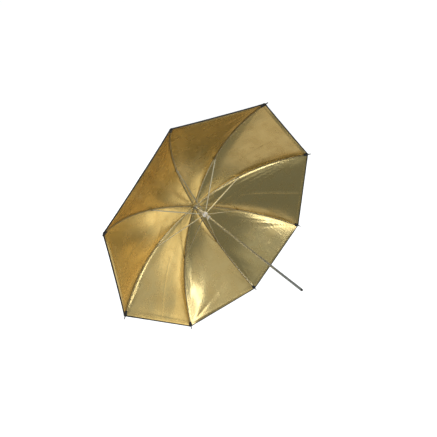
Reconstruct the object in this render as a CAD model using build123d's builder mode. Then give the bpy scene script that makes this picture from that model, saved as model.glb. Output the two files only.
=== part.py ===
from build123d import *
from math import asin, atan2, cos, degrees, hypot, radians, sin
import os

# Eight-rib reflective umbrella for studio lights, millimetres.
# The shaft lies along Y: its free end is at the origin and the crown is at the +Y end.
# The hollow side of the canopy faces -Y, and +Z is up, halfway between two ribs.

os.makedirs("parts", exist_ok=True)

# ---- driving dimensions ----------------------------------------------------
RIBS = 8
RIB_STEP = 360 / RIBS
FIRST_RIB = RIB_STEP / 2  # from +Z towards +X

SHAFT_R = 4.0
SHAFT_WALL = 0.8
CROWN_Y = 556.0  # the plane of the crown's pivots
SHAFT_ABOVE = 11.5  # the tube's length past the crown's pivots
CLAMP_LENGTH = 250.0  # plain stretch that a light's umbrella clamp holds
GROOVE_WIDTH = 1.5
GROOVE_DEPTH = 0.25

PIVOT_R = 8.0  # radius of the wire rings that the ribs and stretchers turn on
TIP_R = 450.0  # radius of the circle through the rib tips
TIP_DEPTH = 195.0  # depth of the open bowl at the tips
RIB_START_HEADING = -2.2  # degrees from radial, towards the free end
RIB_END_HEADING = 49.8
JOINT_HEADING = 18.9  # where the stretcher's joint sits on the rib
JOINT_DROP = 4.5  # from the rib's middle line to the stretcher's pivot

FIT_GAP = 0.02  # between pieces that are pressed together
PAST = 1.0  # how far a cutting shape runs past what it cuts
RUNNER_GAP = 0.1  # radial clearance of the runner on the shaft

RIB_WIDTH = 3.2
RIB_HEIGHT = 2.8
RIB_WALL = 0.6
BLADE = 1.0  # thickness of the flattened ends on the wire rings
BLADE_HEIGHT = 2.4
BLADE_LENGTH = 15.0
OVERLAP = 2.0  # of a flattened end and the channel that it grows from
EYE_R = 2.0
WIRE_R = 0.6
WIRE_HOLE_R = 0.8

RIVET_R = 0.9
RIVET_HOLE_R = 0.95
CHEEK = 0.5  # sheet thickness of the joint's saddle
CHEEK_EYE_R = 2.2  # the cheek's round end about the rivet
SADDLE_GAP = 0.05
SADDLE_BACK = 4.0  # the saddle's length towards the crown
SADDLE_FRONT = 4.5  # and towards the tip, over the rib's back
SADDLE_BRIDGE = 0.4  # thickness over the rib's back
CHEEK_FRONT = 7.5
CHEEK_IN = 1.0  # how far the cheeks' long part reaches past the rib's middle line
SPLIT_AT = 5.0  # the rib's bending point, past the joint
SPLIT_GAP = 0.4

STRETCHER_WIDTH = 3.0
STRETCHER_HEIGHT = 2.4
STRETCHER_WALL = 0.5
TONGUE = 2.4
TONGUE_LENGTH = 11.0

FABRIC = 0.6
FABRIC_CLEAR = 1.0  # from the rib's back to the lining
FABRIC_LAYER_GAP = 0.1
FABRIC_HOLE = 6.5
HEM_HEADING = 48.45
TIP_PIN_R = 1.0

HUB_R = 10.8
SLOT = 1.4
SLOT_FLOOR_R = 5.6
RING_GROOVE = 1.3
RING_GROOVE_R = 7.3

# ---- worked out --------------------------------------------------------------
RIB_BEND_R = (TIP_R - PIVOT_R) / (
    sin(radians(RIB_END_HEADING)) - sin(radians(RIB_START_HEADING))
)
BEND_X = PIVOT_R - RIB_BEND_R * sin(radians(RIB_START_HEADING))
BEND_DEPTH = RIB_BEND_R * cos(radians(RIB_START_HEADING))
LINING_OFFSET = RIB_HEIGHT / 2 + FABRIC_CLEAR
COVER_OFFSET = LINING_OFFSET + FABRIC + FABRIC_LAYER_GAP
rib_angles = [FIRST_RIB + RIB_STEP * k for k in range(RIBS)]
gore_angles = [RIB_STEP * k for k in range(RIBS)]


def half_plane(angle):
    """The plane through the shaft at this angle: x outwards, y towards the free end."""
    turn = radians(angle)
    return Plane(
        origin=(0, CROWN_Y, 0),
        x_dir=(sin(turn), 0, cos(turn)),
        z_dir=(cos(turn), 0, -sin(turn)),
    )


def across(depth):
    """The plane square to the shaft at this depth below the crown: z towards the free end."""
    return Plane(origin=(0, CROWN_Y - depth, 0), x_dir=(0, 0, 1), z_dir=(0, -1, 0))


def rib_point(heading, outward=0.0):
    """A point of the rib's arc, or of one drawn further out, as (radius, depth)."""
    reach = RIB_BEND_R + outward
    return (
        BEND_X + reach * sin(radians(heading)),
        BEND_DEPTH - reach * cos(radians(heading)),
    )


def facing(plane, point, heading):
    """The plane square to the rib there: x across the rib, y outwards, z along it."""
    start = plane.from_local_coords((point[0], point[1], 0))
    ahead = (point[0] + cos(radians(heading)), point[1] + sin(radians(heading)), 0)
    return Plane(
        origin=start,
        x_dir=plane.z_dir,
        z_dir=plane.from_local_coords(ahead) - start,
    )


def beside(plane, point, heading):
    """The plane of the rib itself from that point: x along it, y inwards."""
    start = plane.from_local_coords((point[0], point[1], 0))
    ahead = (point[0] + cos(radians(heading)), point[1] + sin(radians(heading)), 0)
    return Plane(
        origin=start,
        x_dir=plane.from_local_coords(ahead) - start,
        z_dir=plane.z_dir,
    )


def arc_angle(length):
    """The turn of the rib's arc over this length, in degrees."""
    return degrees(length / RIB_BEND_R)


def joint_pivot():
    """The stretcher's pivot under the rib, as (radius, depth)."""
    return rib_point(JOINT_HEADING, -JOINT_DROP)


# ribs and stretchers are equally long between pivots, so the runner's pivots are twice as
# deep as the joint's in every position, and the runner slides true on the shaft
RUNNER_DEPTH = 2 * joint_pivot()[1]


def save(shape, name):
    shape.label = name
    export_step(shape, f"parts/{name}.step")


def channel(plane, width, height, wall):
    """A U section, its web on the plane's +y side."""
    with BuildSketch(plane) as section:
        Rectangle(width, height)
        with Locations((0, -wall)):
            Rectangle(width - 2 * wall, height, mode=Mode.SUBTRACT)
    return section.sketch


def rib_sweep(plane, from_heading, to_heading):
    """The rib's U channel along its arc, opening inwards."""
    section = channel(
        facing(plane, rib_point(from_heading), from_heading),
        RIB_WIDTH,
        RIB_HEIGHT,
        RIB_WALL,
    )
    bend_line = Axis(plane.from_local_coords((BEND_X, BEND_DEPTH, 0)), plane.z_dir)
    revolve(section, axis=bend_line, revolution_arc=to_heading - from_heading)


def eye_blade(plane, reach):
    """A flattened end that turns on a wire ring: an eye, and a strip along the plane's x."""
    with BuildSketch(plane) as blade:
        Circle(EYE_R)
        with Locations((reach / 2, 0)):
            Rectangle(reach, BLADE_HEIGHT)
        Circle(WIRE_HOLE_R, mode=Mode.SUBTRACT)
    extrude(blade.sketch, amount=BLADE / 2, both=True)


def ring_slots(depth, above, below):
    """Eight slots for the flattened ends, and the groove that holds the wire ring."""
    slot_length = HUB_R + PAST - SLOT_FLOOR_R
    with BuildSketch(across(depth - above)) as slots:
        with PolarLocations(SLOT_FLOOR_R + slot_length / 2, RIBS, start_angle=FIRST_RIB):
            Rectangle(slot_length, SLOT)
    extrude(slots.sketch, amount=above + below, mode=Mode.SUBTRACT)
    with BuildSketch(across(depth - RING_GROOVE / 2)) as groove:
        Circle(HUB_R + PAST)
        Circle(RING_GROOVE_R, mode=Mode.SUBTRACT)
    extrude(groove.sketch, amount=RING_GROOVE, mode=Mode.SUBTRACT)


# ---- the shaft ---------------------------------------------------------------
SLEEVE_ABOVE = 32.0  # the runner's length above its pivots
SLEEVE_BELOW = 30.0  # and below them
SLEEVE_TOP = RUNNER_DEPTH - SLEEVE_ABOVE
SLEEVE_END = RUNNER_DEPTH + SLEEVE_BELOW
CATCH_FACE = SLEEVE_END + 0.4  # depth of the catch's flat stop
CATCH_START = CATCH_FACE - 3.0  # the spine runs past the nose inside the tube
CATCH_END = CATCH_FACE + 15.6
CATCH_REACH = 6.4  # radius that its nose stands out to
CATCH_FLAT = 1.5  # length of the nose's top, before its slope
CATCH_NOSE_END = CATCH_FACE + 9.6
CATCH_WIDTH = 1.2
CATCH_SLOT_WIDTH = 1.8
CATCH_SLOT_START = CATCH_FACE - 0.3
CATCH_SLOT_LENGTH = 10.4
CATCH_SPINE_IN = -0.2  # the spine's two sides, from the shaft's axis
CATCH_SPINE_OUT = 3.0
HUB_TOP = 2.1  # above the pivots
HUB_BOTTOM = 7.0  # below them
PIN_R = 0.8
PIN_DEPTH = 4.4
CATCH_PLANE = half_plane(0)

with BuildPart() as shaft_tube:
    with BuildSketch(across(-SHAFT_ABOVE)):
        Circle(SHAFT_R)
        Circle(SHAFT_R - SHAFT_WALL, mode=Mode.SUBTRACT)
    extrude(amount=CROWN_Y + SHAFT_ABOVE)
    # the ring mark that ends the clamping stretch
    with BuildSketch(across(CROWN_Y - CLAMP_LENGTH - GROOVE_WIDTH)):
        Circle(SHAFT_R + PAST)
        Circle(SHAFT_R - GROOVE_DEPTH, mode=Mode.SUBTRACT)
    extrude(amount=GROOVE_WIDTH, mode=Mode.SUBTRACT)
    # the window that the catch stands out through
    with BuildSketch(CATCH_PLANE):
        with Locations((SHAFT_R, CATCH_SLOT_START + CATCH_SLOT_LENGTH / 2)):
            Rectangle(2 * SHAFT_WALL + PAST, CATCH_SLOT_LENGTH)
    extrude(amount=CATCH_SLOT_WIDTH / 2, both=True, mode=Mode.SUBTRACT)
    # the crown's cross pin goes through both walls
    with BuildSketch(Plane.XY.offset(-2 * SHAFT_R)):
        with Locations((0, CROWN_Y - PIN_DEPTH)):
            Circle(PIN_R)
    extrude(amount=4 * SHAFT_R, mode=Mode.SUBTRACT)
save(shaft_tube.part, "shaft_tube")

PLUG_R = 3.6
PLUG_HEAD = 4.0
PLUG_ROUND = 2.2
PLUG_SHANK = 12.0

with BuildPart() as end_plug:
    with BuildSketch(across(CROWN_Y)):
        Circle(PLUG_R)
    extrude(amount=PLUG_HEAD)
    fillet(end_plug.edges().sort_by(Axis.Y)[0], radius=PLUG_ROUND)
    with BuildSketch(across(CROWN_Y - PLUG_SHANK)):
        Circle(SHAFT_R - SHAFT_WALL - FIT_GAP)
    extrude(amount=PLUG_SHANK)
save(end_plug.part, "end_plug")

# ---- the crown ---------------------------------------------------------------
HUB_NECK_R = 7.0
HUB_NECK = 5.0
HUB_BEVEL = 0.5

with BuildPart() as crown_hub:
    with BuildSketch(across(-HUB_TOP)):
        Circle(HUB_R)
    extrude(amount=HUB_TOP + HUB_BOTTOM)
    with BuildSketch(across(HUB_BOTTOM)):
        Circle(SLOT_FLOOR_R)
    extrude(amount=HUB_NECK)
    chamfer(crown_hub.edges().group_by(Axis.Y)[0], length=HUB_BEVEL)
    with BuildSketch(across(-HUB_TOP)):
        Circle(SHAFT_R + FIT_GAP)
    extrude(amount=HUB_TOP + HUB_BOTTOM + HUB_NECK, mode=Mode.SUBTRACT)
    ring_slots(0, HUB_TOP + PAST, HUB_BOTTOM)
    with BuildSketch(Plane.XY.offset(-HUB_R)):
        with Locations((0, CROWN_Y - PIN_DEPTH)):
            Circle(PIN_R + FIT_GAP)
    extrude(amount=2 * HUB_R, mode=Mode.SUBTRACT)
save(crown_hub.part, "crown_hub")


def wire_ring(depth):
    """A closed wire ring round the shaft at this depth."""
    with BuildPart() as ring:
        with BuildSketch(half_plane(0)):
            with Locations((PIVOT_R, depth)):
                Circle(WIRE_R)
        revolve(axis=Axis((0, 0, 0), (0, 1, 0)))
    return ring.part


save(wire_ring(0), "crown_ring")

PIN_HALF = 9.8

with BuildPart() as crown_pin:
    with BuildSketch(Plane.XY.offset(-PIN_HALF)):
        with Locations((0, CROWN_Y - PIN_DEPTH)):
            Circle(PIN_R - FIT_GAP)
    extrude(amount=2 * PIN_HALF)
save(crown_pin.part, "crown_pin")

# ---- what closes the canopy's centre, on the outside ---------------------------
WASHER_R = 16.0
WASHER = 1.0
WASHER_ROUND = 0.4
WASHER_UNDER = 5.0  # height of its underside above the pivots
FERRULE_R = 6.5
FERRULE_FOOT = 7.0
SPIKE_R = 4.0
SPIKE_TOP = 34.0
SPIKE_ROUND = 3.5
FERRULE_BEVEL = 0.8
BORE_R = SHAFT_R + FIT_GAP

with BuildPart() as cover_washer:
    with BuildSketch(across(-WASHER_UNDER - WASHER)):
        Circle(WASHER_R)
        Circle(BORE_R, mode=Mode.SUBTRACT)
    extrude(amount=WASHER)
    rims = cover_washer.edges().filter_by(GeomType.CIRCLE)
    fillet(rims.sort_by(SortBy.RADIUS)[-1], radius=WASHER_ROUND)
save(cover_washer.part, "cover_washer")

ferrule_foot_depth = -WASHER_UNDER - WASHER - FIT_GAP
with BuildPart() as ferrule:
    with BuildSketch(across(ferrule_foot_depth - FERRULE_FOOT)):
        Circle(FERRULE_R)
    extrude(amount=FERRULE_FOOT)
    with BuildSketch(across(-SPIKE_TOP)):
        Circle(SPIKE_R)
    extrude(amount=SPIKE_TOP + ferrule_foot_depth - FERRULE_FOOT)
    fillet(ferrule.edges().sort_by(Axis.Y)[-1], radius=SPIKE_ROUND)
    chamfer(
        ferrule.edges().filter_by(GeomType.CIRCLE).sort_by(SortBy.RADIUS)[-2:],
        length=FERRULE_BEVEL,
    )
    with BuildSketch(across(-SHAFT_ABOVE - FIT_GAP)):
        Circle(BORE_R)
    extrude(amount=SHAFT_ABOVE, mode=Mode.SUBTRACT)
save(ferrule.part, "ferrule")

# ---- the runner and its catch --------------------------------------------------
SLEEVE_R = 5.0
COLLAR_HALF = 5.0
GRIP_R = 6.8
GRIP_LENGTH = 9.0
RUNNER_BEVEL = 0.6

with BuildPart() as runner_sleeve:
    with BuildSketch(across(SLEEVE_TOP)):
        Circle(SLEEVE_R)
    extrude(amount=SLEEVE_END - SLEEVE_TOP)
    with BuildSketch(across(RUNNER_DEPTH - COLLAR_HALF)):
        Circle(HUB_R)
    extrude(amount=2 * COLLAR_HALF)
    with BuildSketch(across(SLEEVE_END - GRIP_LENGTH)):
        Circle(GRIP_R)
    extrude(amount=GRIP_LENGTH)
    chamfer(
        runner_sleeve.edges().filter_by(GeomType.CIRCLE).sort_by(SortBy.RADIUS)[-4:],
        length=RUNNER_BEVEL,
    )
    with BuildSketch(across(SLEEVE_TOP)):
        Circle(SHAFT_R + RUNNER_GAP)
    extrude(amount=SLEEVE_END - SLEEVE_TOP, mode=Mode.SUBTRACT)
    ring_slots(RUNNER_DEPTH, COLLAR_HALF + PAST, COLLAR_HALF + PAST)
save(runner_sleeve.part, "runner_sleeve")

save(wire_ring(RUNNER_DEPTH), "runner_ring")

with BuildPart() as catch_spring:
    with BuildSketch(CATCH_PLANE):
        with BuildLine():
            Polyline(
                (CATCH_SPINE_IN, CATCH_START),
                (CATCH_SPINE_OUT, CATCH_START),
                (CATCH_SPINE_OUT, CATCH_FACE),
                (CATCH_REACH, CATCH_FACE),
                (CATCH_REACH, CATCH_FACE + CATCH_FLAT),
                (CATCH_SPINE_OUT, CATCH_NOSE_END),
                (CATCH_SPINE_OUT, CATCH_END),
                (CATCH_SPINE_IN, CATCH_END),
                close=True,
            )
        make_face()
    extrude(amount=CATCH_WIDTH / 2, both=True)
save(catch_spring.part, "catch_spring")

# ---- ribs, their joints, the stretchers and the tip caps -----------------------
split_heading = JOINT_HEADING + arc_angle(SPLIT_AT)
half_split = arc_angle(SPLIT_GAP / 2)
channel_start = RIB_START_HEADING + arc_angle(BLADE_LENGTH - OVERLAP)
stretcher_run = hypot(joint_pivot()[0] - PIVOT_R, RUNNER_DEPTH - joint_pivot()[1])
stretcher_heading = degrees(
    atan2(joint_pivot()[1] - RUNNER_DEPTH, joint_pivot()[0] - PIVOT_R)
)


def rib_inner(plane):
    """The rib from the crown's ring to just past the stretcher's joint."""
    with BuildPart() as rib:
        first = beside(plane, (PIVOT_R, 0), RIB_START_HEADING + arc_angle(BLADE_LENGTH / 2))
        eye_blade(first, BLADE_LENGTH)
        rib_sweep(plane, channel_start, split_heading - half_split)
    return rib.part


TIP_PIN = 11.0
TIP_PIN_ROOT = 4.0  # the filled stretch of channel that it stands on


def rib_outer(plane):
    """The rib from the bending point to the pin that the tip cap sits on."""
    rib_end = facing(plane, rib_point(HEM_HEADING), HEM_HEADING)
    with BuildPart() as rib:
        rib_sweep(plane, split_heading + half_split, HEM_HEADING)
        with BuildSketch(rib_end):
            Circle(TIP_PIN_R)
        extrude(amount=TIP_PIN)
        with BuildSketch(rib_end.offset(-TIP_PIN_ROOT)):
            Rectangle(RIB_WIDTH - RIB_WALL, RIB_HEIGHT - RIB_WALL)
        extrude(amount=TIP_PIN_ROOT)
    return rib.part


def joint_saddle(plane):
    """The folded saddle that is crimped over the rib and holds the stretcher's rivet."""
    at_joint = beside(plane, rib_point(JOINT_HEADING), JOINT_HEADING)
    cheek_in = RIB_WIDTH / 2 + SADDLE_GAP
    top = -RIB_HEIGHT / 2 - SADDLE_GAP - SADDLE_BRIDGE
    with BuildPart() as saddle:
        for side in (cheek_in, -cheek_in - CHEEK):
            with BuildSketch(at_joint.offset(side)):
                with Locations(((CHEEK_FRONT - SADDLE_BACK) / 2, (top + CHEEK_IN) / 2)):
                    Rectangle(CHEEK_FRONT + SADDLE_BACK, CHEEK_IN - top)
                with Locations((0, JOINT_DROP)):
                    Circle(CHEEK_EYE_R)
                make_hull()
                with Locations((0, JOINT_DROP)):
                    Circle(RIVET_R, mode=Mode.SUBTRACT)
            extrude(amount=CHEEK)
        with BuildSketch(at_joint):
            with Locations(((SADDLE_FRONT - SADDLE_BACK) / 2, top + SADDLE_BRIDGE / 2)):
                Rectangle(SADDLE_FRONT + SADDLE_BACK, SADDLE_BRIDGE)
        extrude(amount=cheek_in + CHEEK, both=True)
    return saddle.part


RIVET_HEAD_R = 1.5
RIVET_HEAD = 0.6


def joint_rivet(plane):
    """The rivet through the saddle's cheeks, with a head each side."""
    at_pivot = beside(plane, joint_pivot(), JOINT_HEADING)
    grip = RIB_WIDTH / 2 + SADDLE_GAP + CHEEK
    with BuildPart() as rivet:
        with BuildSketch(at_pivot):
            Circle(RIVET_R)
        extrude(amount=grip, both=True)
        with BuildSketch(at_pivot.offset(grip)):
            Circle(RIVET_HEAD_R)
        extrude(amount=RIVET_HEAD)
        with BuildSketch(at_pivot.offset(-grip - RIVET_HEAD)):
            Circle(RIVET_HEAD_R)
        extrude(amount=RIVET_HEAD)
    return rivet.part


def stretcher(plane):
    """The strut from the runner's ring to the rib's joint."""
    along = beside(plane, (PIVOT_R, RUNNER_DEPTH), stretcher_heading)
    section_plane = Plane(
        origin=along.from_local_coords((BLADE_LENGTH - OVERLAP, 0, 0)),
        x_dir=-along.z_dir,
        z_dir=along.x_dir,
    )
    channel_length = stretcher_run - BLADE_LENGTH - TONGUE_LENGTH + 2 * OVERLAP
    with BuildPart() as strut:
        eye_blade(along, BLADE_LENGTH)
        section = channel(
            section_plane, STRETCHER_WIDTH, STRETCHER_HEIGHT, STRETCHER_WALL
        )
        extrude(section, amount=channel_length)
        with BuildSketch(along):
            with Locations((stretcher_run, 0)):
                Circle(EYE_R)
            with Locations((stretcher_run - TONGUE_LENGTH / 2, 0)):
                Rectangle(TONGUE_LENGTH, STRETCHER_HEIGHT)
        extrude(amount=TONGUE / 2, both=True)
        with BuildSketch(along):
            with Locations((stretcher_run, 0)):
                Circle(RIVET_HOLE_R)
        extrude(amount=TONGUE, both=True, mode=Mode.SUBTRACT)
    return strut.part


CAP_START = 0.3
CAP_LENGTH = 13.0
CAP_FOOT_R = 2.4
CAP_FOOT_END = 4.0
CAP_NECK_R = 1.6
CAP_NECK_START = 6.0


def tip_cap(plane):
    """The moulded cap on the rib's end, which the canopy's corner is sewn to."""
    along = beside(plane, rib_point(HEM_HEADING), HEM_HEADING)
    socket_r = TIP_PIN_R + FIT_GAP
    with BuildPart() as cap:
        with BuildSketch(along):
            with BuildLine():
                Polyline(
                    (TIP_PIN + FIT_GAP, 0),
                    (TIP_PIN + FIT_GAP, socket_r),
                    (CAP_START, socket_r),
                    (CAP_START, CAP_FOOT_R),
                    (CAP_FOOT_END, CAP_FOOT_R),
                    (CAP_NECK_START, CAP_NECK_R),
                    (CAP_LENGTH - CAP_NECK_R, CAP_NECK_R),
                )
                RadiusArc(
                    (CAP_LENGTH - CAP_NECK_R, CAP_NECK_R), (CAP_LENGTH, 0), CAP_NECK_R
                )
                Line((CAP_LENGTH, 0), (TIP_PIN + FIT_GAP, 0))
            make_face()
        revolve(axis=Axis(along.origin, along.x_dir))
    return cap.part


for number, angle in enumerate(rib_angles, start=1):
    here = half_plane(angle)
    save(rib_inner(here), f"rib_inner_{number}")
    save(rib_outer(here), f"rib_outer_{number}")
    joint = Compound(children=[joint_saddle(here), joint_rivet(here)])
    save(joint, f"rib_joint_{number}")
    save(stretcher(here), f"stretcher_{number}")
    save(tip_cap(here), f"tip_cap_{number}")

# ---- the canopy: eight gores of lining, and eight of cover ---------------------
narrowing = cos(radians(RIB_STEP / 2))  # a gore's middle is this much nearer the shaft


def gore(angle, offset):
    """One gore, straight from rib to rib, as thick cloth at this height over the ribs."""
    middle = half_plane(angle)
    center = (BEND_X * narrowing, BEND_DEPTH)
    inner_reach = RIB_BEND_R + offset
    outer_reach = inner_reach + FABRIC
    start_sine = (FABRIC_HOLE / narrowing - BEND_X) / inner_reach
    start = degrees(asin(start_sine)) - 90
    sweep = HEM_HEADING - 90 - start
    reach_across = TIP_R * sin(radians(RIB_STEP / 2))
    with BuildPart() as cloth:
        with BuildSketch(middle):
            with BuildLine():
                inside = EllipticalCenterArc(
                    center, inner_reach * narrowing, inner_reach, start, arc_size=sweep
                )
                outside = EllipticalCenterArc(
                    center, outer_reach * narrowing, outer_reach, start, arc_size=sweep
                )
                Line(inside @ 0, outside @ 0)
                Line(inside @ 1, outside @ 1)
            make_face()
        extrude(amount=reach_across, both=True)
        for side in (-1, 1):
            seam = half_plane(angle + side * RIB_STEP / 2)
            keep = Keep.BOTTOM if side == 1 else Keep.TOP
            split(bisect_by=seam, keep=keep)
    return cloth.part


lining = Compound(children=[gore(angle, LINING_OFFSET) for angle in gore_angles])
save(lining, "gold_lining")

cover = Compound(children=[gore(angle, COVER_OFFSET) for angle in gore_angles])
save(cover, "black_cover")
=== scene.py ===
import math

import bmesh
import bpy
import numpy as np
from mathutils import Matrix, Vector


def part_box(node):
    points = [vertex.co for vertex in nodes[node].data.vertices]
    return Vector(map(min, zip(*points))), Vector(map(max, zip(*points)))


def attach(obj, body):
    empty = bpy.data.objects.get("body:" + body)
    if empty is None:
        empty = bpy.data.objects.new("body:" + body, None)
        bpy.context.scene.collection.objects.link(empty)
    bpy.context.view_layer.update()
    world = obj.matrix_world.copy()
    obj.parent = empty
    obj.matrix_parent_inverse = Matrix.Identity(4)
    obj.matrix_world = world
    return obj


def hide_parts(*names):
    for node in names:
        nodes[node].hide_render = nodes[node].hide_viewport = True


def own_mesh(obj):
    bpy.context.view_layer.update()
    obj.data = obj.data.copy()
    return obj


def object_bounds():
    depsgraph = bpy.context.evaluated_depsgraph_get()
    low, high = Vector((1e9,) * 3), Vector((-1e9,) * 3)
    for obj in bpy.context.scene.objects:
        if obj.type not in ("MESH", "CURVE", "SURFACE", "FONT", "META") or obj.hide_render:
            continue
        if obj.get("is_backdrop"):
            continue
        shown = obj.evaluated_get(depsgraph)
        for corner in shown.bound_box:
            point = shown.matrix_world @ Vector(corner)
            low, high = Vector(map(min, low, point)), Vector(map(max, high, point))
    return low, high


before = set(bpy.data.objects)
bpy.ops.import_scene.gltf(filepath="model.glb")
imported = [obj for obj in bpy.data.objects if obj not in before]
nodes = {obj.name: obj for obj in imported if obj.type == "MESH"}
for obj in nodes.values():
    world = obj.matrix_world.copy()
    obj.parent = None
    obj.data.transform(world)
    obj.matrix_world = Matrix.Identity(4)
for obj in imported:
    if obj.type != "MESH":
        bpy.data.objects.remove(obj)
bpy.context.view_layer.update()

# Looks of an eight-rib gold umbrella reflector, in metres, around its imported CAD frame.
# The shaft lies along Y with the crown at the +Y end, and the gold side faces -Y.

# ---- driving dimensions ------------------------------------------------------
MM = 0.001
RIBS = 8
RIB_STEP = math.radians(360 / RIBS)
HALF_STEP = RIB_STEP / 2
PIVOT_R = 8 * MM  # a rib's two ends, from the shaft
TIP_R = 450 * MM
# A rib is an arc, and a heading is how far round it a place lies. It is 0 where the rib is
# square to the shaft.
RIB_START = math.radians(-2.2)
RIB_END = math.radians(49.8)
JOINT_HEADING = math.radians(18.9)  # of the stretcher's joint
SPLIT_PAST_JOINT = 5 * MM  # from that joint to the hinge of the rib's outer half
HEM = math.radians(48.45)
CENTRE_HOLE = 6.5 * MM  # from the shaft's middle line to the cloth

BEND_R = (TIP_R - PIVOT_R) / (math.sin(RIB_END) - math.sin(RIB_START))
BEND_X = PIVOT_R - BEND_R * math.sin(RIB_START)
BEND_DEPTH = BEND_R * math.cos(RIB_START)
SPLIT_HEADING = JOINT_HEADING + SPLIT_PAST_JOINT / BEND_R

ring_low, ring_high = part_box("crown_ring")
CROWN_Y = (ring_low.y + ring_high.y) / 2

# heights of the cloth's four faces over the ribs' middle line
LINING_IN = 2.4 * MM
LINING_OUT = 3.0 * MM
COVER_IN = 3.1 * MM
COVER_OUT = 3.7 * MM

CROWDING = 0.7  # of the cloth's columns towards the ribs and the gores' middles


def out_of_shaft(angle):
    """The unit vector away from the shaft at this angle from +Z towards +X."""
    return np.array([math.sin(angle), 0.0, math.cos(angle)])


def rib_angle(rib):
    return HALF_STEP + RIB_STEP * (rib - 1)


def half_widths(heading):
    """Half of a gore's width where its ribs have this heading."""
    return (BEND_X + BEND_R * np.sin(heading)) * math.sin(HALF_STEP)


HEM_HALF = half_widths(HEM)


def crowded(count):
    """This many places from -1 to 1, closer together at both ends and in the middle."""
    even = np.linspace(-1, 1, count)
    return even - CROWDING * np.sin(2 * math.pi * even) / (2 * math.pi)


# ---- the canopy's shape --------------------------------------------------------
# How far each gore's middle is pulled in between its ribs, and the powers that say how
# sharply it falls to the rib before it and the rib after it.
gore_sags = {
    1: (11 * MM, 3.0, 3.5),
    2: (19 * MM, 5.5, 3.4),
    3: (9 * MM, 6.0, 3.0),
    4: (15 * MM, 3.0, 4.8),
    5: (13 * MM, 3.5, 10.0),
    6: (12 * MM, 3.2, 3.0),
    7: (12 * MM, 3.0, 3.0),
    8: (11 * MM, 3.0, 3.5),
}
SAG_TAPER = 0.8  # how fast the sag shrinks towards the crown
sag_tapers = {2: 1.0}  # in the gores where that differs
HEM_SHARPNESS = 13
HEM_HOLD = 0.85  # share of the sag that the tight hem takes out


def smooth_step(x, start, end):
    t = np.clip((x - start) / (end - start), 0, 1)
    return t * t * (3 - 2 * t)


def bump(x, width):
    return np.exp(-((x / width) ** 2))


# Folds that fan out of the canopy's corners: gore, corner (-1 or 1), angle from the hem's
# normal in degrees, width in degrees, height as a share of the distance from the corner, and
# reach in metres.
corner_folds = [
    (2, -1, 19.5, 1.2, 0.011, 0.36),
    (2, -1, 23.0, 1.3, 0.012, 0.34),
    (2, -1, 27.0, 1.5, 0.013, 0.30),
    (2, -1, 31.5, 1.8, 0.012, 0.26),
    (2, 1, 28, 4.0, 0.010, 0.14),
    (3, -1, 19, 1.2, 0.008, 0.20),
    (3, -1, 23, 1.3, 0.010, 0.18),
    (3, -1, 27.5, 1.6, 0.009, 0.16),
    (3, -1, 34, 2.0, -0.010, 0.12),
    (3, 1, 25, 3.0, 0.008, 0.14),
    (4, 1, 24, 2.0, 0.008, 0.20),
    (4, 1, 48, 12.0, 0.016, 0.21),
    (4, 1, 66, 4.5, -0.014, 0.15),
    (4, -1, 24, 1.6, 0.008, 0.12),
    (4, -1, 30, 2.0, -0.008, 0.14),
    (5, 1, 19, 1.6, 0.010, 0.16),
    (5, 1, 24, 1.8, 0.010, 0.14),
    (5, -1, 26, 4.0, 0.008, 0.20),
    (6, -1, 24, 3.0, 0.008, 0.20),
    (6, 1, 30, 4.0, 0.010, 0.18),
    (7, -1, 22, 2.0, 0.010, 0.18),
    (7, -1, 30, 3.0, -0.008, 0.16),
    (7, 1, 32, 4.0, 0.010, 0.18),
    (8, -1, 25, 3.0, 0.010, 0.18),
    (8, 1, 34, 4.0, 0.012, 0.20),
    (8, 1, 56, 5.0, -0.016, 0.16),
    (1, -1, 26, 4.0, 0.008, 0.20),
    (1, 1, 24, 3.0, 0.008, 0.18),
]

# Pressed-in lines down the middle of a gore, from being stored folded: gore and height.
middle_creases = {
    1: 0.3 * MM,
    2: 1.1 * MM,
    3: 0.1 * MM,
    4: 0.15 * MM,
    5: 0.2 * MM,
    6: 0.3 * MM,
    7: 0.3 * MM,
    8: 0.3 * MM,
}
CREASE_WIDTH = 4 * MM
CREASE_ENDS = (4 * MM, 20 * MM)  # it fades out towards the hem, in distance from it
CREASE_STARTS = (0.35, 0.6)  # and towards the crown, in shares of the rib
FOLD_ENDS = (0, 30 * MM)  # where a corner's folds fade out towards the hem
HEM_FOLD = 11 * MM  # the hem's width, and where its inner edge shows as a ridge
HEM_RIDGE = 1.0 * MM
RIDGE_WIDTH = 0.6 * HEM_FOLD
SWINGS = 6  # slow waves in each gore's cloth
SWING_LENGTHS = (0.05, 0.13)
SWING_TILT = 0.45
SWING_SLOPE = 0.010 / 6  # a wave's height over its length
SWING_STARTS = (0.05, 0.4)  # shares of the rib between which they grow
SWING_SEED = 40
FOLDS_NEAR_RIB = 8  # powers with which folds and waves fade at the ribs
SWINGS_NEAR_RIB = 4


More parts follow.
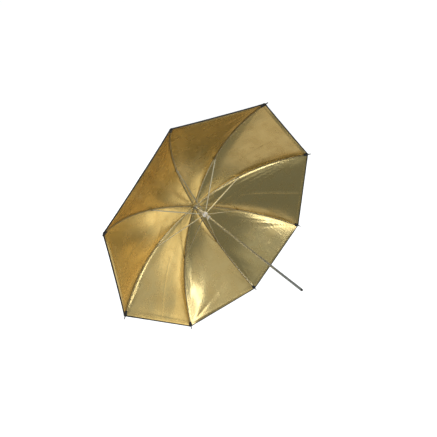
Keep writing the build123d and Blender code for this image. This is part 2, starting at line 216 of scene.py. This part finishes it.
def pulled_in(gore, s, heading):
    """How far the cloth lies in from the straight line between its two ribs."""
    share = (heading - RIB_START) / (HEM - RIB_START)
    half = half_widths(heading)
    across = s * half
    up = (HEM - heading) * BEND_R
    sag, before, after = gore_sags[gore]
    edge = 1 - np.abs(s) ** np.where(s < 0, before, after)
    hem_edge = 1 - HEM_HOLD * np.clip(share, 0, 1) ** HEM_SHARPNESS
    size = sag * np.clip(half / HEM_HALF, 0, 1) ** sag_tapers.get(gore, SAG_TAPER)
    depth = size * edge * hem_edge

    free = (1 - s**FOLDS_NEAR_RIB) * smooth_step(up, *FOLD_ENDS)
    for number, corner, turn, width, height, reach in corner_folds:
        if number != gore:
            continue
        along = HEM_HALF + corner * -across
        distance = np.hypot(along, up)
        angle = np.degrees(np.arctan2(along, np.maximum(up, 1e-6)))
        rise = height * distance * bump(distance, reach)
        depth = depth + rise * bump(angle - turn, width) * free

    crease = middle_creases[gore] * bump(across, CREASE_WIDTH)
    depth = depth + crease * smooth_step(up, *CREASE_ENDS) * smooth_step(share, *CREASE_STARTS)

    ridge = HEM_RIDGE * bump(up - HEM_FOLD, RIDGE_WIDTH)
    depth = depth + ridge * (1 - s**FOLDS_NEAR_RIB)

    random = np.random.default_rng(SWING_SEED + gore)
    for _ in range(SWINGS):
        wave = random.uniform(*SWING_LENGTHS)
        tilt = random.uniform(-SWING_TILT, SWING_TILT)
        phase = random.uniform(0, 2 * math.pi)
        run = across * math.cos(tilt) + up * math.sin(tilt)
        swing = SWING_SLOPE * wave * np.sin(2 * math.pi * run / wave + phase)
        swing = swing * (1 - s**SWINGS_NEAR_RIB) * hem_edge
        depth = depth + swing * smooth_step(share, *SWING_STARTS)
    return depth


def cloth(gore, s, heading, height):
    """Points of the gore between rib number gore and the next.

    s runs from -1 to 1 across it, heading along its ribs, and height is the face's height
    over the ribs' middle line.
    """
    reach = BEND_R + height
    radius = BEND_X + reach * np.sin(heading)
    depth = BEND_DEPTH - reach * np.cos(heading)
    middle = rib_angle(gore) + HALF_STEP
    out = out_of_shaft(middle)
    side = out_of_shaft(middle + math.pi / 2)
    in_radial = -np.cos(HALF_STEP) * np.sin(heading)
    in_y = -np.cos(heading)
    length = np.hypot(in_radial, in_y)
    push = pulled_in(gore, s, heading)
    radial = radius * math.cos(HALF_STEP) + push * in_radial / length
    sideways = s * radius * math.sin(HALF_STEP)
    y = CROWN_Y - depth + push * in_y / length
    points = radial[..., None] * out + sideways[..., None] * side
    points[..., 1] = y
    return points


def unit(vectors):
    return vectors / np.linalg.norm(vectors, axis=-1, keepdims=True)


def cloth_normal(gore, s, heading, height):
    """Unit normals of the same points, towards the shaft's free end."""
    ds, dh = 1e-3, 1e-4
    across = cloth(gore, s + ds, heading, height) - cloth(gore, s - ds, heading, height)
    down = cloth(gore, s, heading + dh, height) - cloth(gore, s, heading - dh, height)
    normal = unit(np.cross(across, down))
    flip = np.where(normal[..., 1:2] > 0, -1.0, 1.0)
    return normal * flip


# ---- meshes ----------------------------------------------------------------------
def new_mesh_object(name, points, faces, normals, seams, weaves, material):
    """A piece from numpy arrays; normals and the two UV maps have a row for each face corner."""
    mesh = bpy.data.meshes.new(name)
    mesh.from_pydata(points.tolist(), [], faces.tolist())
    mesh.polygons.foreach_set("use_smooth", np.ones(len(faces), bool))
    for title, places in (("Seams", seams), ("Weave", weaves)):
        layer = mesh.uv_layers.new(name=title)
        layer.data.foreach_set("uv", places.astype(np.float32).ravel())
    mesh.normals_split_custom_set(normals.tolist())
    mesh.materials.append(material)
    mesh.update()
    piece = bpy.data.objects.new(name, mesh)
    bpy.context.scene.collection.objects.link(piece)
    return piece


def corners(grid):
    """The four corners of each cell of a grid."""
    return np.stack([grid[:-1, :-1], grid[1:, :-1], grid[1:, 1:], grid[:-1, 1:]], 2)


def wall_quads(index):
    """Quads that join the rim of a grid of points to the rim of the next grid."""
    border = np.concatenate([index[:, 0], index[-1, 1:], index[-2::-1, -1], index[0, -2:0:-1]])
    following = np.roll(border, -1)
    return np.stack([border, border + index.size, following + index.size, following], 1)


def face_normals(points, quads):
    a, b, d = (points[quads[:, i]] for i in (0, 1, 3))
    return unit(np.cross(b - a, d - a))


CELL = 4.5 * MM
MIN_COLUMNS = 6  # on each side of the rib
MIN_ROWS = 3


def sector_shell(rib, first, last, low, high):
    """A thin closed shell of the cloth from mid-gore to mid-gore about a rib.

    first and last give the heading of its two ends for u from -1 to 1 across it.
    Returns points and quads, and for each corner the normal, the distance across from the
    rib and along it, and the same measured from the middle of its gore, in metres.
    """
    columns = max(MIN_COLUMNS, int(half_widths(float(last(1.0))) / CELL))
    rows = max(MIN_ROWS, int(float(last(0.0) - first(0.0)) * BEND_R / CELL))
    grid_u, grid_v = np.meshgrid(crowded(2 * columns + 1), np.linspace(0, 1, rows + 1), indexing="ij")
    heading = first(grid_u) + grid_v * (last(grid_u) - first(grid_u))
    sides = []
    woven = []
    for gore, half in ((rib - 1 or RIBS, slice(0, columns + 1)), (rib, slice(columns, None))):
        s = grid_u[half] + (1 if half.start == 0 else -1)
        place = (gore, s, heading[half])
        sides.append([(cloth(*place, h), cloth_normal(*place, h)) for h in (low, high)])
        from_middle = s * half_widths(heading[half]) + gore  # a metre on, no gore repeats another
        woven.append(np.stack([from_middle, heading[half] * BEND_R], -1))
    points, normals = [], []
    for face in (0, 1):
        left, right = sides[0][face], sides[1][face]
        points.append(np.concatenate([left[0], right[0][1:]]))
        normals.append((left[1], right[1]))
    count_u, count_v = grid_u.shape
    index = np.arange(count_u * count_v).reshape(count_u, count_v)
    flat = np.stack([grid_u * half_widths(heading), heading * BEND_R], -1)

    quads, corner_normals, seams, weaves = [], [], [], []
    for face in (0, 1):
        quad = corners(index) + face * count_u * count_v
        left, right = (corners(n) for n in normals[face])
        normal = np.concatenate([left, right])
        seam = corners(flat)
        weave = np.concatenate([corners(half) for half in woven])
        if face == 1:
            quad, normal = quad[:, :, ::-1], -normal[:, :, ::-1]
            seam, weave = seam[:, :, ::-1], weave[:, :, ::-1]
        quads.append(quad.reshape(-1, 4))
        corner_normals.append(normal.reshape(-1, 3))
        seams.append(seam.reshape(-1, 2))
        weaves.append(weave.reshape(-1, 2))
    all_points = np.concatenate([p.reshape(-1, 3) for p in points])

    wall = wall_quads(index)
    quads.append(wall)
    corner_normals.append(np.repeat(face_normals(all_points, wall), 4, axis=0))
    seams.append(flat.reshape(-1, 2)[wall.ravel() % index.size])
    weaves.append(seams[-1])
    return all_points, *(np.concatenate(x) for x in (quads, corner_normals, seams, weaves))


# ---- materials -------------------------------------------------------------------
NOISE_USUAL = (0.3, 0.7)  # the values that a noise mostly has


class Graph:
    """A material's nodes, with short calls that add them and join them."""

    def __init__(self, name, base, metallic, roughness):
        self.material = bpy.data.materials.new(name)
        self.material.use_nodes = True
        self.tree = self.material.node_tree
        self.shader = self.tree.nodes["Principled BSDF"]
        self.set(self.shader, {"Metallic": metallic})
        self.set(self.shader, {"Base Color": self.colour(base)})
        self.set(self.shader, {"Roughness": roughness})

    @staticmethod
    def colour(rgb):
        return (*rgb, 1.0)

    def set(self, node, inputs):
        for key, value in inputs.items():
            if isinstance(value, bpy.types.NodeSocket):
                self.tree.links.new(value, node.inputs[key])
            else:
                node.inputs[key].default_value = value

    def add(self, kind, inputs, **settings):
        node = self.tree.nodes.new("ShaderNode" + kind)
        for key, value in settings.items():
            setattr(node, key, value)
        self.set(node, inputs)
        return node

    def math(self, operation, first, second=0.0, third=0.0):
        return self.add("Math", {0: first, 1: second, 2: third}, operation=operation).outputs[0]

    def total(self, *values):
        result = values[0]
        for value in values[1:]:
            result = self.math("ADD", result, value)
        return result

    def times(self, *values):
        result = values[0]
        for value in values[1:]:
            result = self.math("MULTIPLY", result, value)
        return result

    def remap(self, value, source, target, **settings):
        inputs = {"Value": value, "From Min": source[0], "From Max": source[1]}
        inputs.update({"To Min": target[0], "To Max": target[1]})
        return self.add("MapRange", inputs, **settings).outputs[0]

    def fade(self, value, start, end):
        """1 where value is below start, 0 above end."""
        return self.remap(value, (start, end), (1.0, 0.0), interpolation_type="SMOOTHSTEP")

    def spread(self, noise, low, high):
        """A noise spread between low and high."""
        return self.remap(noise, NOISE_USUAL, (low, high))

    def noise(self, place, scale, stretch=(1, 1, 1), detail=2.0):
        moved = self.add("VectorMath", {0: place, 1: stretch}, operation="MULTIPLY").outputs[0]
        return self.add("TexNoise", {"Vector": moved, "Scale": scale, "Detail": detail}).outputs[0]

    def wave(self, value, pitch, shift=0.0):
        return self.math("SINE", self.math("MULTIPLY_ADD", value, 2 * math.pi / pitch, shift))

    def mix(self, share, first, second):
        ends = {0: share, 6: self.colour(first), 7: second}
        if not isinstance(second, bpy.types.NodeSocket):
            ends[7] = self.colour(second)
        return self.add("Mix", ends, data_type="RGBA").outputs[2]

    def relief(self, height):
        """Height in metres, as bump."""
        normal = self.add("Bump", {"Height": height, "Distance": 1.0, "Strength": 1.0})
        self.set(self.shader, {"Normal": normal.outputs[0]})


SEAM_HALF = 5 * MM
SEAM_ROW = 3.5 * MM  # of stitches, from the rib
HEM_ROW = 9 * MM  # of stitches, from the hem
STITCH_PITCH = 4 * MM
STITCH_EDGE = (0.3 * MM, 0.6 * MM)  # half of the thread's width
STITCH_GAP = (0.3, 0.7)  # heights of the wave along a row between which a stitch ends

# patches of each noise in a metre of cloth
MOTTLES = 22.0
CRUMPLES = 420.0
STREAKS = 150.0
PUCKERS = 240.0
THREADS = 1 / (0.8 * MM)

# heights in the cloth's relief
THREAD_HEIGHT = 0.022 * MM
STREAK_HEIGHT = 0.22 * MM
PUCKER_HEIGHT = 0.35 * MM
SEAM_HEIGHT = 0.25 * MM
FOLD_HEIGHT = 0.2 * MM
STITCH_DEPTH = 0.2 * MM


def sewn_cloth(name, light, dark, thread, metallic, roughness, crinkle):
    """Woven cloth with felled seams along the ribs and a stitched hem.

    The Seams map holds the distance across from the rib and along it from the crown, in
    metres, and the Weave map the same from the middle line of the gore. crinkle is the
    height of the cloth's fine crumples.
    """
    graph = Graph(name, light, metallic, roughness[0])
    seam_place = graph.add("UVMap", {}, uv_map="Seams").outputs[0]
    place = graph.add("UVMap", {}, uv_map="Weave").outputs[0]
    axes = graph.add("SeparateXYZ", {0: seam_place}).outputs
    aside = graph.math("ABSOLUTE", axes[0])
    along = axes[1]
    to_hem = graph.math("SUBTRACT", HEM * BEND_R, along)

    mottle = graph.noise(place, MOTTLES, detail=3.0)
    fine = graph.noise(place, CRUMPLES, detail=3.0)
    streaks = graph.noise(place, STREAKS, stretch=(1, 0.06, 1))
    puckers = graph.noise(seam_place, PUCKERS, stretch=(0.25, 1, 1))

    in_seam = graph.fade(aside, 0.8 * SEAM_HALF, SEAM_HALF)
    in_fold = graph.fade(to_hem, 0.95 * HEM_FOLD, HEM_FOLD)
    near_seam = graph.fade(aside, SEAM_HALF, 5 * SEAM_HALF)
    near_hem = graph.fade(to_hem, HEM_FOLD, 3 * HEM_FOLD)

    seam_row = graph.math("ABSOLUTE", graph.math("SUBTRACT", aside, SEAM_ROW))
    hem_row = graph.math("ABSOLUTE", graph.math("SUBTRACT", to_hem, HEM_ROW))
    seam_dash = graph.fade(graph.wave(along, STITCH_PITCH), *STITCH_GAP)
    hem_dash = graph.fade(graph.wave(axes[0], STITCH_PITCH), *STITCH_GAP)
    stitches = graph.math(
        "MAXIMUM",
        graph.times(graph.fade(seam_row, *STITCH_EDGE), seam_dash),
        graph.times(graph.fade(hem_row, *STITCH_EDGE), hem_dash),
    )

    warp = graph.noise(place, THREADS, stretch=(1, 0.12, 1), detail=0.0)
    weft = graph.noise(place, THREADS, stretch=(0.12, 1, 1), detail=0.0)
    graph.relief(
        graph.total(
            graph.times(graph.total(warp, weft), THREAD_HEIGHT),
            graph.times(fine, crinkle),
            graph.times(streaks, STREAK_HEIGHT),
            graph.times(puckers, graph.math("MAXIMUM", near_seam, near_hem), PUCKER_HEIGHT),
            graph.times(in_seam, SEAM_HEIGHT),
            graph.times(in_fold, FOLD_HEIGHT),
            graph.times(stitches, -STITCH_DEPTH),
        )
    )
    colours = graph.mix(graph.spread(mottle, 0.0, 1.0), light, dark)
    shade = graph.add("Mix", {0: stitches, 6: colours, 7: graph.colour(thread)}, data_type="RGBA")
    graph.set(graph.shader, {"Base Color": shade.outputs[2]})
    graph.set(graph.shader, {"Roughness": graph.spread(mottle, *roughness)})
    return graph


def patchy(graph, noise, light, dark, roughness):
    """Let the colour and the roughness follow a noise."""
    graph.set(graph.shader, {"Base Color": graph.mix(graph.spread(noise, 0.0, 1.0), light, dark)})
    graph.set(graph.shader, {"Roughness": graph.spread(noise, *roughness)})


CLOUDS = 45.0  # patches in a metre of metal
DRAWING_LINES = 900.0
RUBBED_PATCHES = 130.0  # and in a metre of plastic
MATT_GRAINS = 2200.0
MATT_HEIGHT = 0.05 * MM
EVEN = (1, 1, 1)
ALONG_SHAFT = (1, 0.02, 1)


def plated(name, light, dark, metallic, roughness, stretch=EVEN, grain=0.01 * MM):
    """Plated or polished metal: faint cloudy patches and fine drawing lines."""
    graph = Graph(name, light, metallic, roughness[0])
    place = graph.add("TexCoord", {}).outputs["Object"]
    patches = graph.noise(place, CLOUDS, detail=4.0)
    lines = graph.noise(place, DRAWING_LINES, stretch=stretch)
    patchy(graph, patches, light, dark, roughness)
    graph.relief(graph.times(lines, grain))
    return graph


def moulded(name, light, dark, roughness):
    """Moulded plastic with a fine matt grain and shiny rubbed patches."""
    graph = Graph(name, light, 0.0, roughness[0])
    place = graph.add("TexCoord", {}).outputs["Object"]
    grain = graph.noise(place, MATT_GRAINS)
    patches = graph.noise(place, RUBBED_PATCHES, detail=3.0)
    patchy(graph, patches, light, dark, roughness)
    graph.relief(graph.times(grain, MATT_HEIGHT))
    return graph


gold_fabric = sewn_cloth(
    "gold_fabric",
    light=(0.82, 0.63, 0.28),
    dark=(0.78, 0.57, 0.23),
    thread=(0.40, 0.27, 0.09),
    metallic=1.0,
    roughness=(0.22, 0.30),
    crinkle=0.045 * MM,
).material
black_cloth = sewn_cloth(
    "black_fabric",
    light=(0.016, 0.016, 0.017),
    dark=(0.009, 0.009, 0.010),
    thread=(0.03, 0.03, 0.032),
    metallic=0.0,
    roughness=(0.5, 0.62),
    crinkle=0.06 * MM,
)
black_cloth.set(black_cloth.shader, {"Sheen Weight": 0.08, "Sheen Roughness": 0.35})
black_fabric = black_cloth.material

steel = plated("chromed_steel", (0.76, 0.74, 0.68), (0.68, 0.66, 0.61), 0.86, (0.20, 0.30), ALONG_SHAFT)
sleeve = plated("satin_sleeve", (0.97, 0.91, 0.82), (0.92, 0.85, 0.75), 0.3, (0.30, 0.40), ALONG_SHAFT)
wire = plated("plated_wire", (0.72, 0.64, 0.45), (0.62, 0.55, 0.38), 1.0, (0.34, 0.44))
# a lighter, less metallic copy of the plated wire: painted highlight for the few ribs and stretchers
# that catch the light
painted_highlight_wire = plated("painted_highlight_wire", (0.95, 0.87, 0.64), (0.88, 0.79, 0.57), 0.8, (0.34, 0.44))
rib_wire = plated("rib_wire", (0.72, 0.62, 0.40), (0.62, 0.53, 0.34), 0.92, (0.38, 0.48))
cast = plated("fittings", (0.64, 0.58, 0.44), (0.54, 0.49, 0.37), 1.0, (0.28, 0.42), grain=0.02 * MM)
plastic = moulded("black_plastic", (0.022, 0.022, 0.023), (0.014, 0.014, 0.015), (0.36, 0.5))

# the ribs whose inner halves, and those whose stretchers, get a lighter and less metallic copy of the
# plated wire: a painted highlight on the wires that catch the light, not a brighter plating
painted_highlight_wires = {"rib_inner": (1, 2, 6), "stretcher": (1, 2, 6, 7)}
painted_highlight_names = [f"{part}_{rib}" for part, ribs in painted_highlight_wires.items() for rib in ribs]
finishes = {
    "shaft_tube": steel,
    "runner_sleeve": sleeve,
    "rib_inner": rib_wire,
    "rib_outer": rib_wire,
    "stretcher": wire,
    "end_plug": plastic,
    "ferrule": plastic,
    "tip_cap": plastic,
}
for name, node in nodes.items():
    kind = name.rstrip("0123456789").rstrip("_")
    finish = painted_highlight_wire if name in painted_highlight_names else finishes.get(kind, cast)
    node.data.materials.clear()
    node.data.materials.append(finish.material)

CENTRE_START = math.asin((CENTRE_HOLE / math.cos(HALF_STEP) - BEND_X) / (BEND_R + LINING_IN))
SPLIT_RISE = math.radians(3.2)  # of the line between inner and outer bands, away from the rib
SPLIT_CURVE = 1.5


def heading_of(radius):
    """The heading at which a rib's middle line is this far from the shaft."""
    return math.asin((radius - BEND_X) / BEND_R)


def level(heading):
    """A band's end at the same heading all the way across."""
    return lambda u: heading + 0 * u


def split_line(u):
    """Where the canopy parts into inner and outer pieces: further out away from the rib."""
    return SPLIT_HEADING + SPLIT_RISE * np.abs(u) ** SPLIT_CURVE


LAST_BAND_START = heading_of(380 * MM)
band_ends = [
    level(CENTRE_START),
    level(heading_of(85 * MM)),
    level(heading_of(150 * MM)),
    split_line,
    level(heading_of(320 * MM)),
    level(LAST_BAND_START),
    level(HEM),
]
INNER_BANDS = band_ends.index(split_line)


AREA_STRIPS = 201


def flat_area(first, last):
    """The area of a band laid flat, each strip of it as wide as the gores are there."""
    u = np.linspace(-1, 1, AREA_STRIPS)
    inner, outer = (BEND_X * heading - BEND_R * np.cos(heading) for heading in (first(u), last(u)))
    return 2 * BEND_R * math.sin(HALF_STEP) * float(np.mean(outer - inner))


BEAD_SIDES = 8
BEAD_CAP = np.array([(0, 1, 2, 7), (7, 2, 3, 6), (6, 3, 4, 5)])  # quads that close eight sides


def bead(centre, wide, thick, half_wide, half_thick, start=0.0):
    """A closed bead with an oval section, swept along a row of points.

    wide and thick are the section's two unit directions at each point. start is added to
    the distance across from the rib, which keeps a bead's material clear of the seams.
    """
    turn = 2 * math.pi * np.arange(BEAD_SIDES) / BEAD_SIDES
    c, s = np.cos(turn)[None, :, None], np.sin(turn)[None, :, None]
    half_wide = np.broadcast_to(half_wide, len(centre))[:, None, None]
    half_thick = np.broadcast_to(half_thick, len(centre))[:, None, None]
    wide, thick = wide[:, None], thick[:, None]
    points = centre[:, None] + wide * half_wide * c + thick * half_thick * s
    normal = unit(wide * c / half_wide + thick * s / half_thick)
    run = np.concatenate([[0], np.cumsum(np.linalg.norm(np.diff(centre, axis=0), axis=1))])
    flat = np.stack([
        np.broadcast_to(start + half_wide[:, 0] * turn, (len(centre), BEAD_SIDES)),
        np.broadcast_to(run[:, None], (len(centre), BEAD_SIDES)),
    ], -1)

    index = np.arange(len(centre) * BEAD_SIDES).reshape(len(centre), BEAD_SIDES)
    after = np.roll(index, -1, axis=1)
    quads = np.stack([index[:-1], index[1:], after[1:], after[:-1]], -1).reshape(-1, 4)
    sides = len(quads)
    quads = np.concatenate([quads, BEAD_CAP, BEAD_CAP[:, ::-1] + index[-1, 0]])
    points, normal, flat = points.reshape(-1, 3), normal.reshape(-1, 3), flat.reshape(-1, 2)
    face_normal = face_normals(points, quads)
    outward = np.sum(face_normal[:sides] * normal[quads[:sides, 0]])
    if outward < 0:
        quads = quads[:, ::-1]
        face_normal = -face_normal
    corner_normals = normal[quads]
    corner_normals[sides:] = face_normal[sides:, None]
    flat = flat[quads].reshape(-1, 2)
    return points, quads, corner_normals.reshape(-1, 3), flat, flat


def about_rib(rib, across, heading, height):
    """Points and normals of the cloth at these distances across from a rib."""
    half = half_widths(heading)
    right = across >= 0
    points = np.empty((*across.shape, 3))
    normals = np.empty((*across.shape, 3))
    for gore, side, end in ((rib, right, -1), (rib - 1 or RIBS, ~right, 1)):
        place = (end + across[side] / half[side], heading[side], height[side])
        points[side] = cloth(gore, *place)
        normals[side] = cloth_normal(gore, *place)
    return points, normals


HEM_BEAD_POINTS = 97
HEM_BEAD_WIDE = 2.2 * MM  # half of its section, each way
HEM_BEAD_THICK = 2.0 * MM
UNEVEN_SHARE = 0.10  # by which its width varies
UNEVEN_LENGTH = 9 * MM
UNEVEN_SEED = 70
CLEAR_OF_SEAMS = 50 * MM


def hem_bead(rib):
    """The rolled hem of the cover, over the edges of both cloths."""
    across = crowded(HEM_BEAD_POINTS) * HEM_HALF
    heading = np.full_like(across, HEM)
    height = np.full_like(across, (LINING_IN + COVER_OUT) / 2)
    centre, normal = about_rib(rib, across, heading, height)
    wide = np.cross(unit(np.gradient(centre, axis=0)), normal)
    phase = np.random.default_rng(UNEVEN_SEED + rib).uniform(0, 6)
    swell = UNEVEN_SHARE * np.sin(across / UNEVEN_LENGTH + phase)
    uneven = 1 + swell * (1 - np.abs(across) / HEM_HALF)
    return bead(centre, wide, normal, HEM_BEAD_WIDE * uneven, HEM_BEAD_THICK, CLEAR_OF_SEAMS)


SEAM_POINTS = 60
SEAM_THICK = 0.45 * MM  # half of the ridge's thickness
SEAM_MIDDLE = COVER_OUT + 0.2 * MM  # height of the ridge over the ribs
SEAM_START = CENTRE_START + 0.02  # past the washer over the canopy's centre


def seam_strip(rib, start, end):
    """The felled seam of the cover over a rib, a flat ridge outside it."""
    heading = np.linspace(start, end, SEAM_POINTS)
    across = np.zeros_like(heading)
    centre, _ = about_rib(rib, across, heading, np.full_like(heading, SEAM_MIDDLE))
    out = out_of_shaft(rib_angle(rib))
    side = out_of_shaft(rib_angle(rib) + math.pi / 2)
    thick = np.sin(heading)[:, None] * out
    thick[:, 1] += np.cos(heading)
    wide = np.broadcast_to(side, thick.shape)
    return bead(centre, wide, thick, SEAM_HALF, SEAM_THICK)


PATCH_LENGTH = 15 * MM
PATCH_HALF = 8 * MM  # of its width at the hem
PATCH_NARROWING = 0.62  # share of that width which it loses at its inner end
PATCH_CURVE = 1.5
PATCH_THICK = 0.5 * MM
PATCH_FROM_HEM = 0.4 * MM
PATCH_BULGE = (4.6 * MM, 4 * MM)  # height and half width of its bulge over the rib's end
PATCH_TOP = LINING_IN - 0.1 * MM  # height of its face towards the lining
PATCH_ROWS = 13
PATCH_COLUMNS = 17


def corner_patch(rib):
    """The little pocket that holds a rib's end in the canopy's corner."""
    v, u = np.meshgrid(np.linspace(0, 1, PATCH_ROWS), np.linspace(-1, 1, PATCH_COLUMNS))
    across = u * PATCH_HALF * (1 - PATCH_NARROWING * v**PATCH_CURVE)
    heading = HEM - (PATCH_FROM_HEM + v * PATCH_LENGTH) / BEND_R
    bulge = PATCH_BULGE[0] * bump(across, PATCH_BULGE[1])
    faces = []
    for height in (PATCH_TOP - PATCH_THICK - bulge, PATCH_TOP - bulge):
        faces.append(about_rib(rib, across, heading, height)[0])
    index = np.arange(u.size).reshape(u.shape)
    grid = corners(index).reshape(-1, 4)
    points = np.concatenate([face.reshape(-1, 3) for face in faces])
    quads = np.concatenate([grid, grid[:, ::-1] + u.size, wall_quads(index)])
    normals = np.repeat(face_normals(points, quads), 4, axis=0)
    flat = np.stack([across, heading * BEND_R], -1).reshape(-1, 2)[quads.ravel() % u.size]
    return points, quads, normals, flat, flat


def fit(piece, rib, start, end, rides_end, slot):
    """Give a piece between two headings its body."""
    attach(piece, f"rib_end_{rib}" if rides_end else f"rib_{rib}")
    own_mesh(piece)


layers = [
    ("lining", "gold_lining", LINING_IN, LINING_OUT, gold_fabric, "gold_fabric"),
    ("cover", "black_cover", COVER_IN, COVER_OUT, black_fabric, "black_fabric"),
]
# the two halves of a seam, the band of the cover that each is listed with, and its ends
seam_halves = [(1, 2, SEAM_START, SPLIT_HEADING), (2, 4, SPLIT_HEADING, HEM)]

for rib in range(1, RIBS + 1):
    for band, (first, last) in enumerate(zip(band_ends, band_ends[1:]), start=1):
        for layer, node, low, high, material, slot in layers:
            shell = sector_shell(rib, first, last, low, high)
            piece = new_mesh_object(f"{layer}_{rib}_{band}", *shell, material)
            ends = (float(first(1.0)), float(last(1.0)))
            fit(piece, rib, *ends, band > INNER_BANDS, slot)
            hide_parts(node)
            flat_area(first, last)

    for half, band, start, end in seam_halves:
        strip = new_mesh_object(f"seam_{rib}_{half}", *seam_strip(rib, start, end), black_fabric)
        fit(strip, rib, end, end, band > INNER_BANDS, "black_fabric")
    hem = new_mesh_object(f"hem_{rib}", *hem_bead(rib), black_fabric)
    fit(hem, rib, LAST_BAND_START, HEM, True, "black_fabric")
    patch = new_mesh_object(f"corner_patch_{rib}", *corner_patch(rib), black_fabric)
    fit(patch, rib, LAST_BAND_START, HEM, True, "black_fabric")

# ---- floor, lights and camera ----------------------------------------------------------
FLOOR_Z = -0.75
FAR = 40.0  # half of the floor's width, well past what any view shows


def white_surface(name, strength, rgb=(0.9, 0.9, 0.9)):
    graph = Graph(name, rgb, 0.0, 0.8)
    graph.set(graph.shader, {"Emission Color": (1, 1, 1, 1), "Emission Strength": strength})
    return graph.material


def stage_object(name, mesh, material):
    """A part of the studio, which the glossy cloth doesn't mirror."""
    stage = bpy.data.objects.new(name, mesh)
    bpy.context.scene.collection.objects.link(stage)
    mesh.materials.append(material)
    stage.visible_glossy = False
    stage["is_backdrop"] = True
    return stage


floor_mesh = bpy.data.meshes.new("floor")
floor_corners = [(x * FAR, y * FAR, FLOOR_Z) for x, y in ((-1, -1), (1, -1), (1, 1), (-1, 1))]
floor_mesh.from_pydata(floor_corners, [], [(0, 1, 2, 3)])
stage_object("floor", floor_mesh, white_surface("floor", 0.85))

dome_mesh = bpy.data.meshes.new("backdrop")
dome_shape = bmesh.new()
bmesh.ops.create_uvsphere(dome_shape, u_segments=48, v_segments=24, radius=0.9 * FAR)
bmesh.ops.reverse_faces(dome_shape, faces=dome_shape.faces)
dome_shape.to_mesh(dome_mesh)
dome_shape.free()
backdrop = stage_object("backdrop", dome_mesh, white_surface("backdrop", 1.0, (0, 0, 0)))
backdrop.visible_diffuse = False
backdrop.visible_shadow = False

world = bpy.data.worlds.new("world")
bpy.context.scene.world = world
world.use_nodes = True
sky = world.node_tree.nodes["Background"].inputs
sky["Color"].default_value = (0.91, 1, 1, 1)
sky["Strength"].default_value = 0.19

# the camera's three axes
camera_right = Vector((0.8039, -0.5944, -0.0197))
camera_up = Vector((0.3547, 0.4524, 0.8183))
camera_ahead = Vector((0.4775, 0.6648, -0.5745))
camera_data = bpy.data.cameras.new("camera")
camera = bpy.data.objects.new("camera", camera_data)
bpy.context.scene.collection.objects.link(camera)
camera_data.sensor_width = 36
camera_data.lens = 29.16
camera_data.clip_end = 2 * FAR
camera.location = (-0.6041, -0.4413, 0.7558)
turn = Matrix((camera_right, camera_up, -camera_ahead)).transposed()
camera.rotation_euler = turn.to_euler()
bpy.context.scene.camera = camera


BOWL_MIDDLE = Vector((0, 0.42, 0))


def softbox(name, right, up, back, distance, size, radiance, colour=(1, 1, 1)):
    """A soft light aimed at the bowl, in a direction given against the camera's axes."""
    direction = (camera_right * right + camera_up * up - camera_ahead * back).normalized()
    data = bpy.data.lights.new(name, "AREA")
    data.shape = "RECTANGLE"
    data.size, data.size_y = size
    data.energy = radiance * math.pi * size[0] * size[1]
    data.color = colour
    light = bpy.data.objects.new(name, data)
    light.location = BOWL_MIDDLE + direction * distance
    wide = (camera_right - direction * camera_right.dot(direction)).normalized()
    tall = direction.cross(wide)
    light.rotation_euler = Matrix((wide, tall, direction)).transposed().to_euler()
    light.visible_camera = False
    bpy.context.scene.collection.objects.link(light)


softbox("key_softbox", 0.09, 0.14, 0.98, 2.2, (1.0, 0.7), 3.7, (0.93, 1, 1.12))
softbox("key_right_softbox", 0.57, 0.05, 0.82, 2.2, (0.65, 1.05), 3.2, (0.93, 1, 1.12))
softbox("upper_side_softbox", 0.66, 0.50, 0.56, 2.2, (0.7, 0.5), 3.5, (0.96, 1, 1.05))
softbox("side_softbox", 0.97, -0.01, 0.20, 2.4, (2.6, 1.6), 0.34, (0.98, 0.96, 0.90))
softbox("low_side_softbox", 0.85, -0.44, -0.30, 2.3, (1.5, 1.15), 0.9, (1, 0.91, 0.68))
softbox("far_side_softbox", 0.80, -0.06, -0.60, 2.3, (1.1, 1.2), 0.78, (1, 0.90, 0.66))
softbox("floor_bounce", 0.22, -0.88, -0.55, 1.2, (1.0, 1.0), 0.42, (1, 0.88, 0.72))
softbox("front_softbox", 0.27, -0.38, 0.88, 2.2, (0.9, 0.6), 0.12, (0.92, 1, 1.05))
softbox("strip_softbox", 0.22, -0.50, 0.84, 2.2, (1.4, 0.45), 0.22, (0.92, 1, 1.05))
softbox("back_softbox", -0.62, 0.62, -0.48, 2.6, (1.6, 1.6), 3.0)

bpy.context.scene.view_settings.view_transform = "Standard"

low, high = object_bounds()
